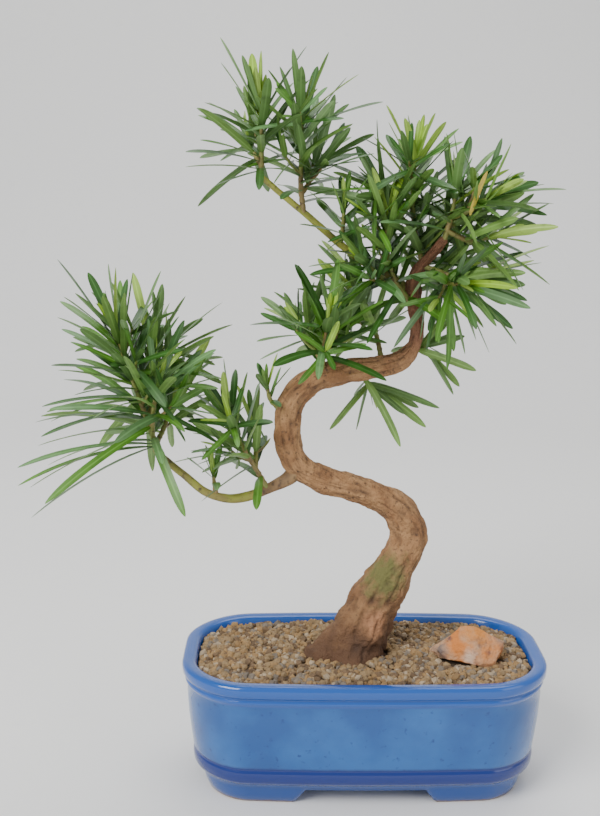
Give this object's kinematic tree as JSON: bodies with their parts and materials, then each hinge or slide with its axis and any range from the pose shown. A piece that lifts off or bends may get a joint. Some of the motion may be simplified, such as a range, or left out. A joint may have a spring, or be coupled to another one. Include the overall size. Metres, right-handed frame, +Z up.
{
  "type": "potted Buddhist pine bonsai",
  "caption": "Potted Buddhist pine bonsai: a winding bare trunk with tufts of long narrow leaves, in a rounded rectangular glazed pot on corner feet, topped with gravel and a small stone.",
  "frame": {"origin": "on the ground under the middle of the whole plant's box, level with the soles of the pot's feet", "axes": "+Z up, +X to the viewer's right along the pot's long side, +Y away from the viewer"},
  "size_m": [0.3078, 0.1372, 0.4302],
  "materials": {
    "glazed_pot": "gloss",
    "soil": "matte",
    "stone": "matte",
    "bark": "matte",
    "green_bough": "satin",
    "foliage": "satin"
  },
  "bodies": {
    "root": {"pot": "glazed_pot", "soil": "soil", "stone": "stone", "trunk_foot": "bark", "trunk_sweep": "bark", "trunk_bend": "bark", "trunk_arch": "bark", "trunk_top": "bark", "crown_bough": "bark", "lower_bough_inner": "bark", "lower_bough_outer": "green_bough", "upper_bough": "green_bough", "foliage_bough_spur": "foliage", "foliage_lower_left": "foliage", "foliage_inner_left": "foliage", "foliage_trunk_bend": "foliage", "foliage_middle": "foliage", "foliage_crown_low": "foliage", "foliage_crown_right": "foliage", "foliage_crown_top": "foliage", "foliage_crown_left": "foliage", "foliage_arch_back": "foliage", "foliage_crown_back": "foliage", "foliage_upper_left": "foliage", "foliage_upper_inner": "foliage", "foliage_bough_joint": "foliage", "foliage_arch_under": "foliage", "foliage_arch_right": "foliage"}
  },
  "joints": []
}
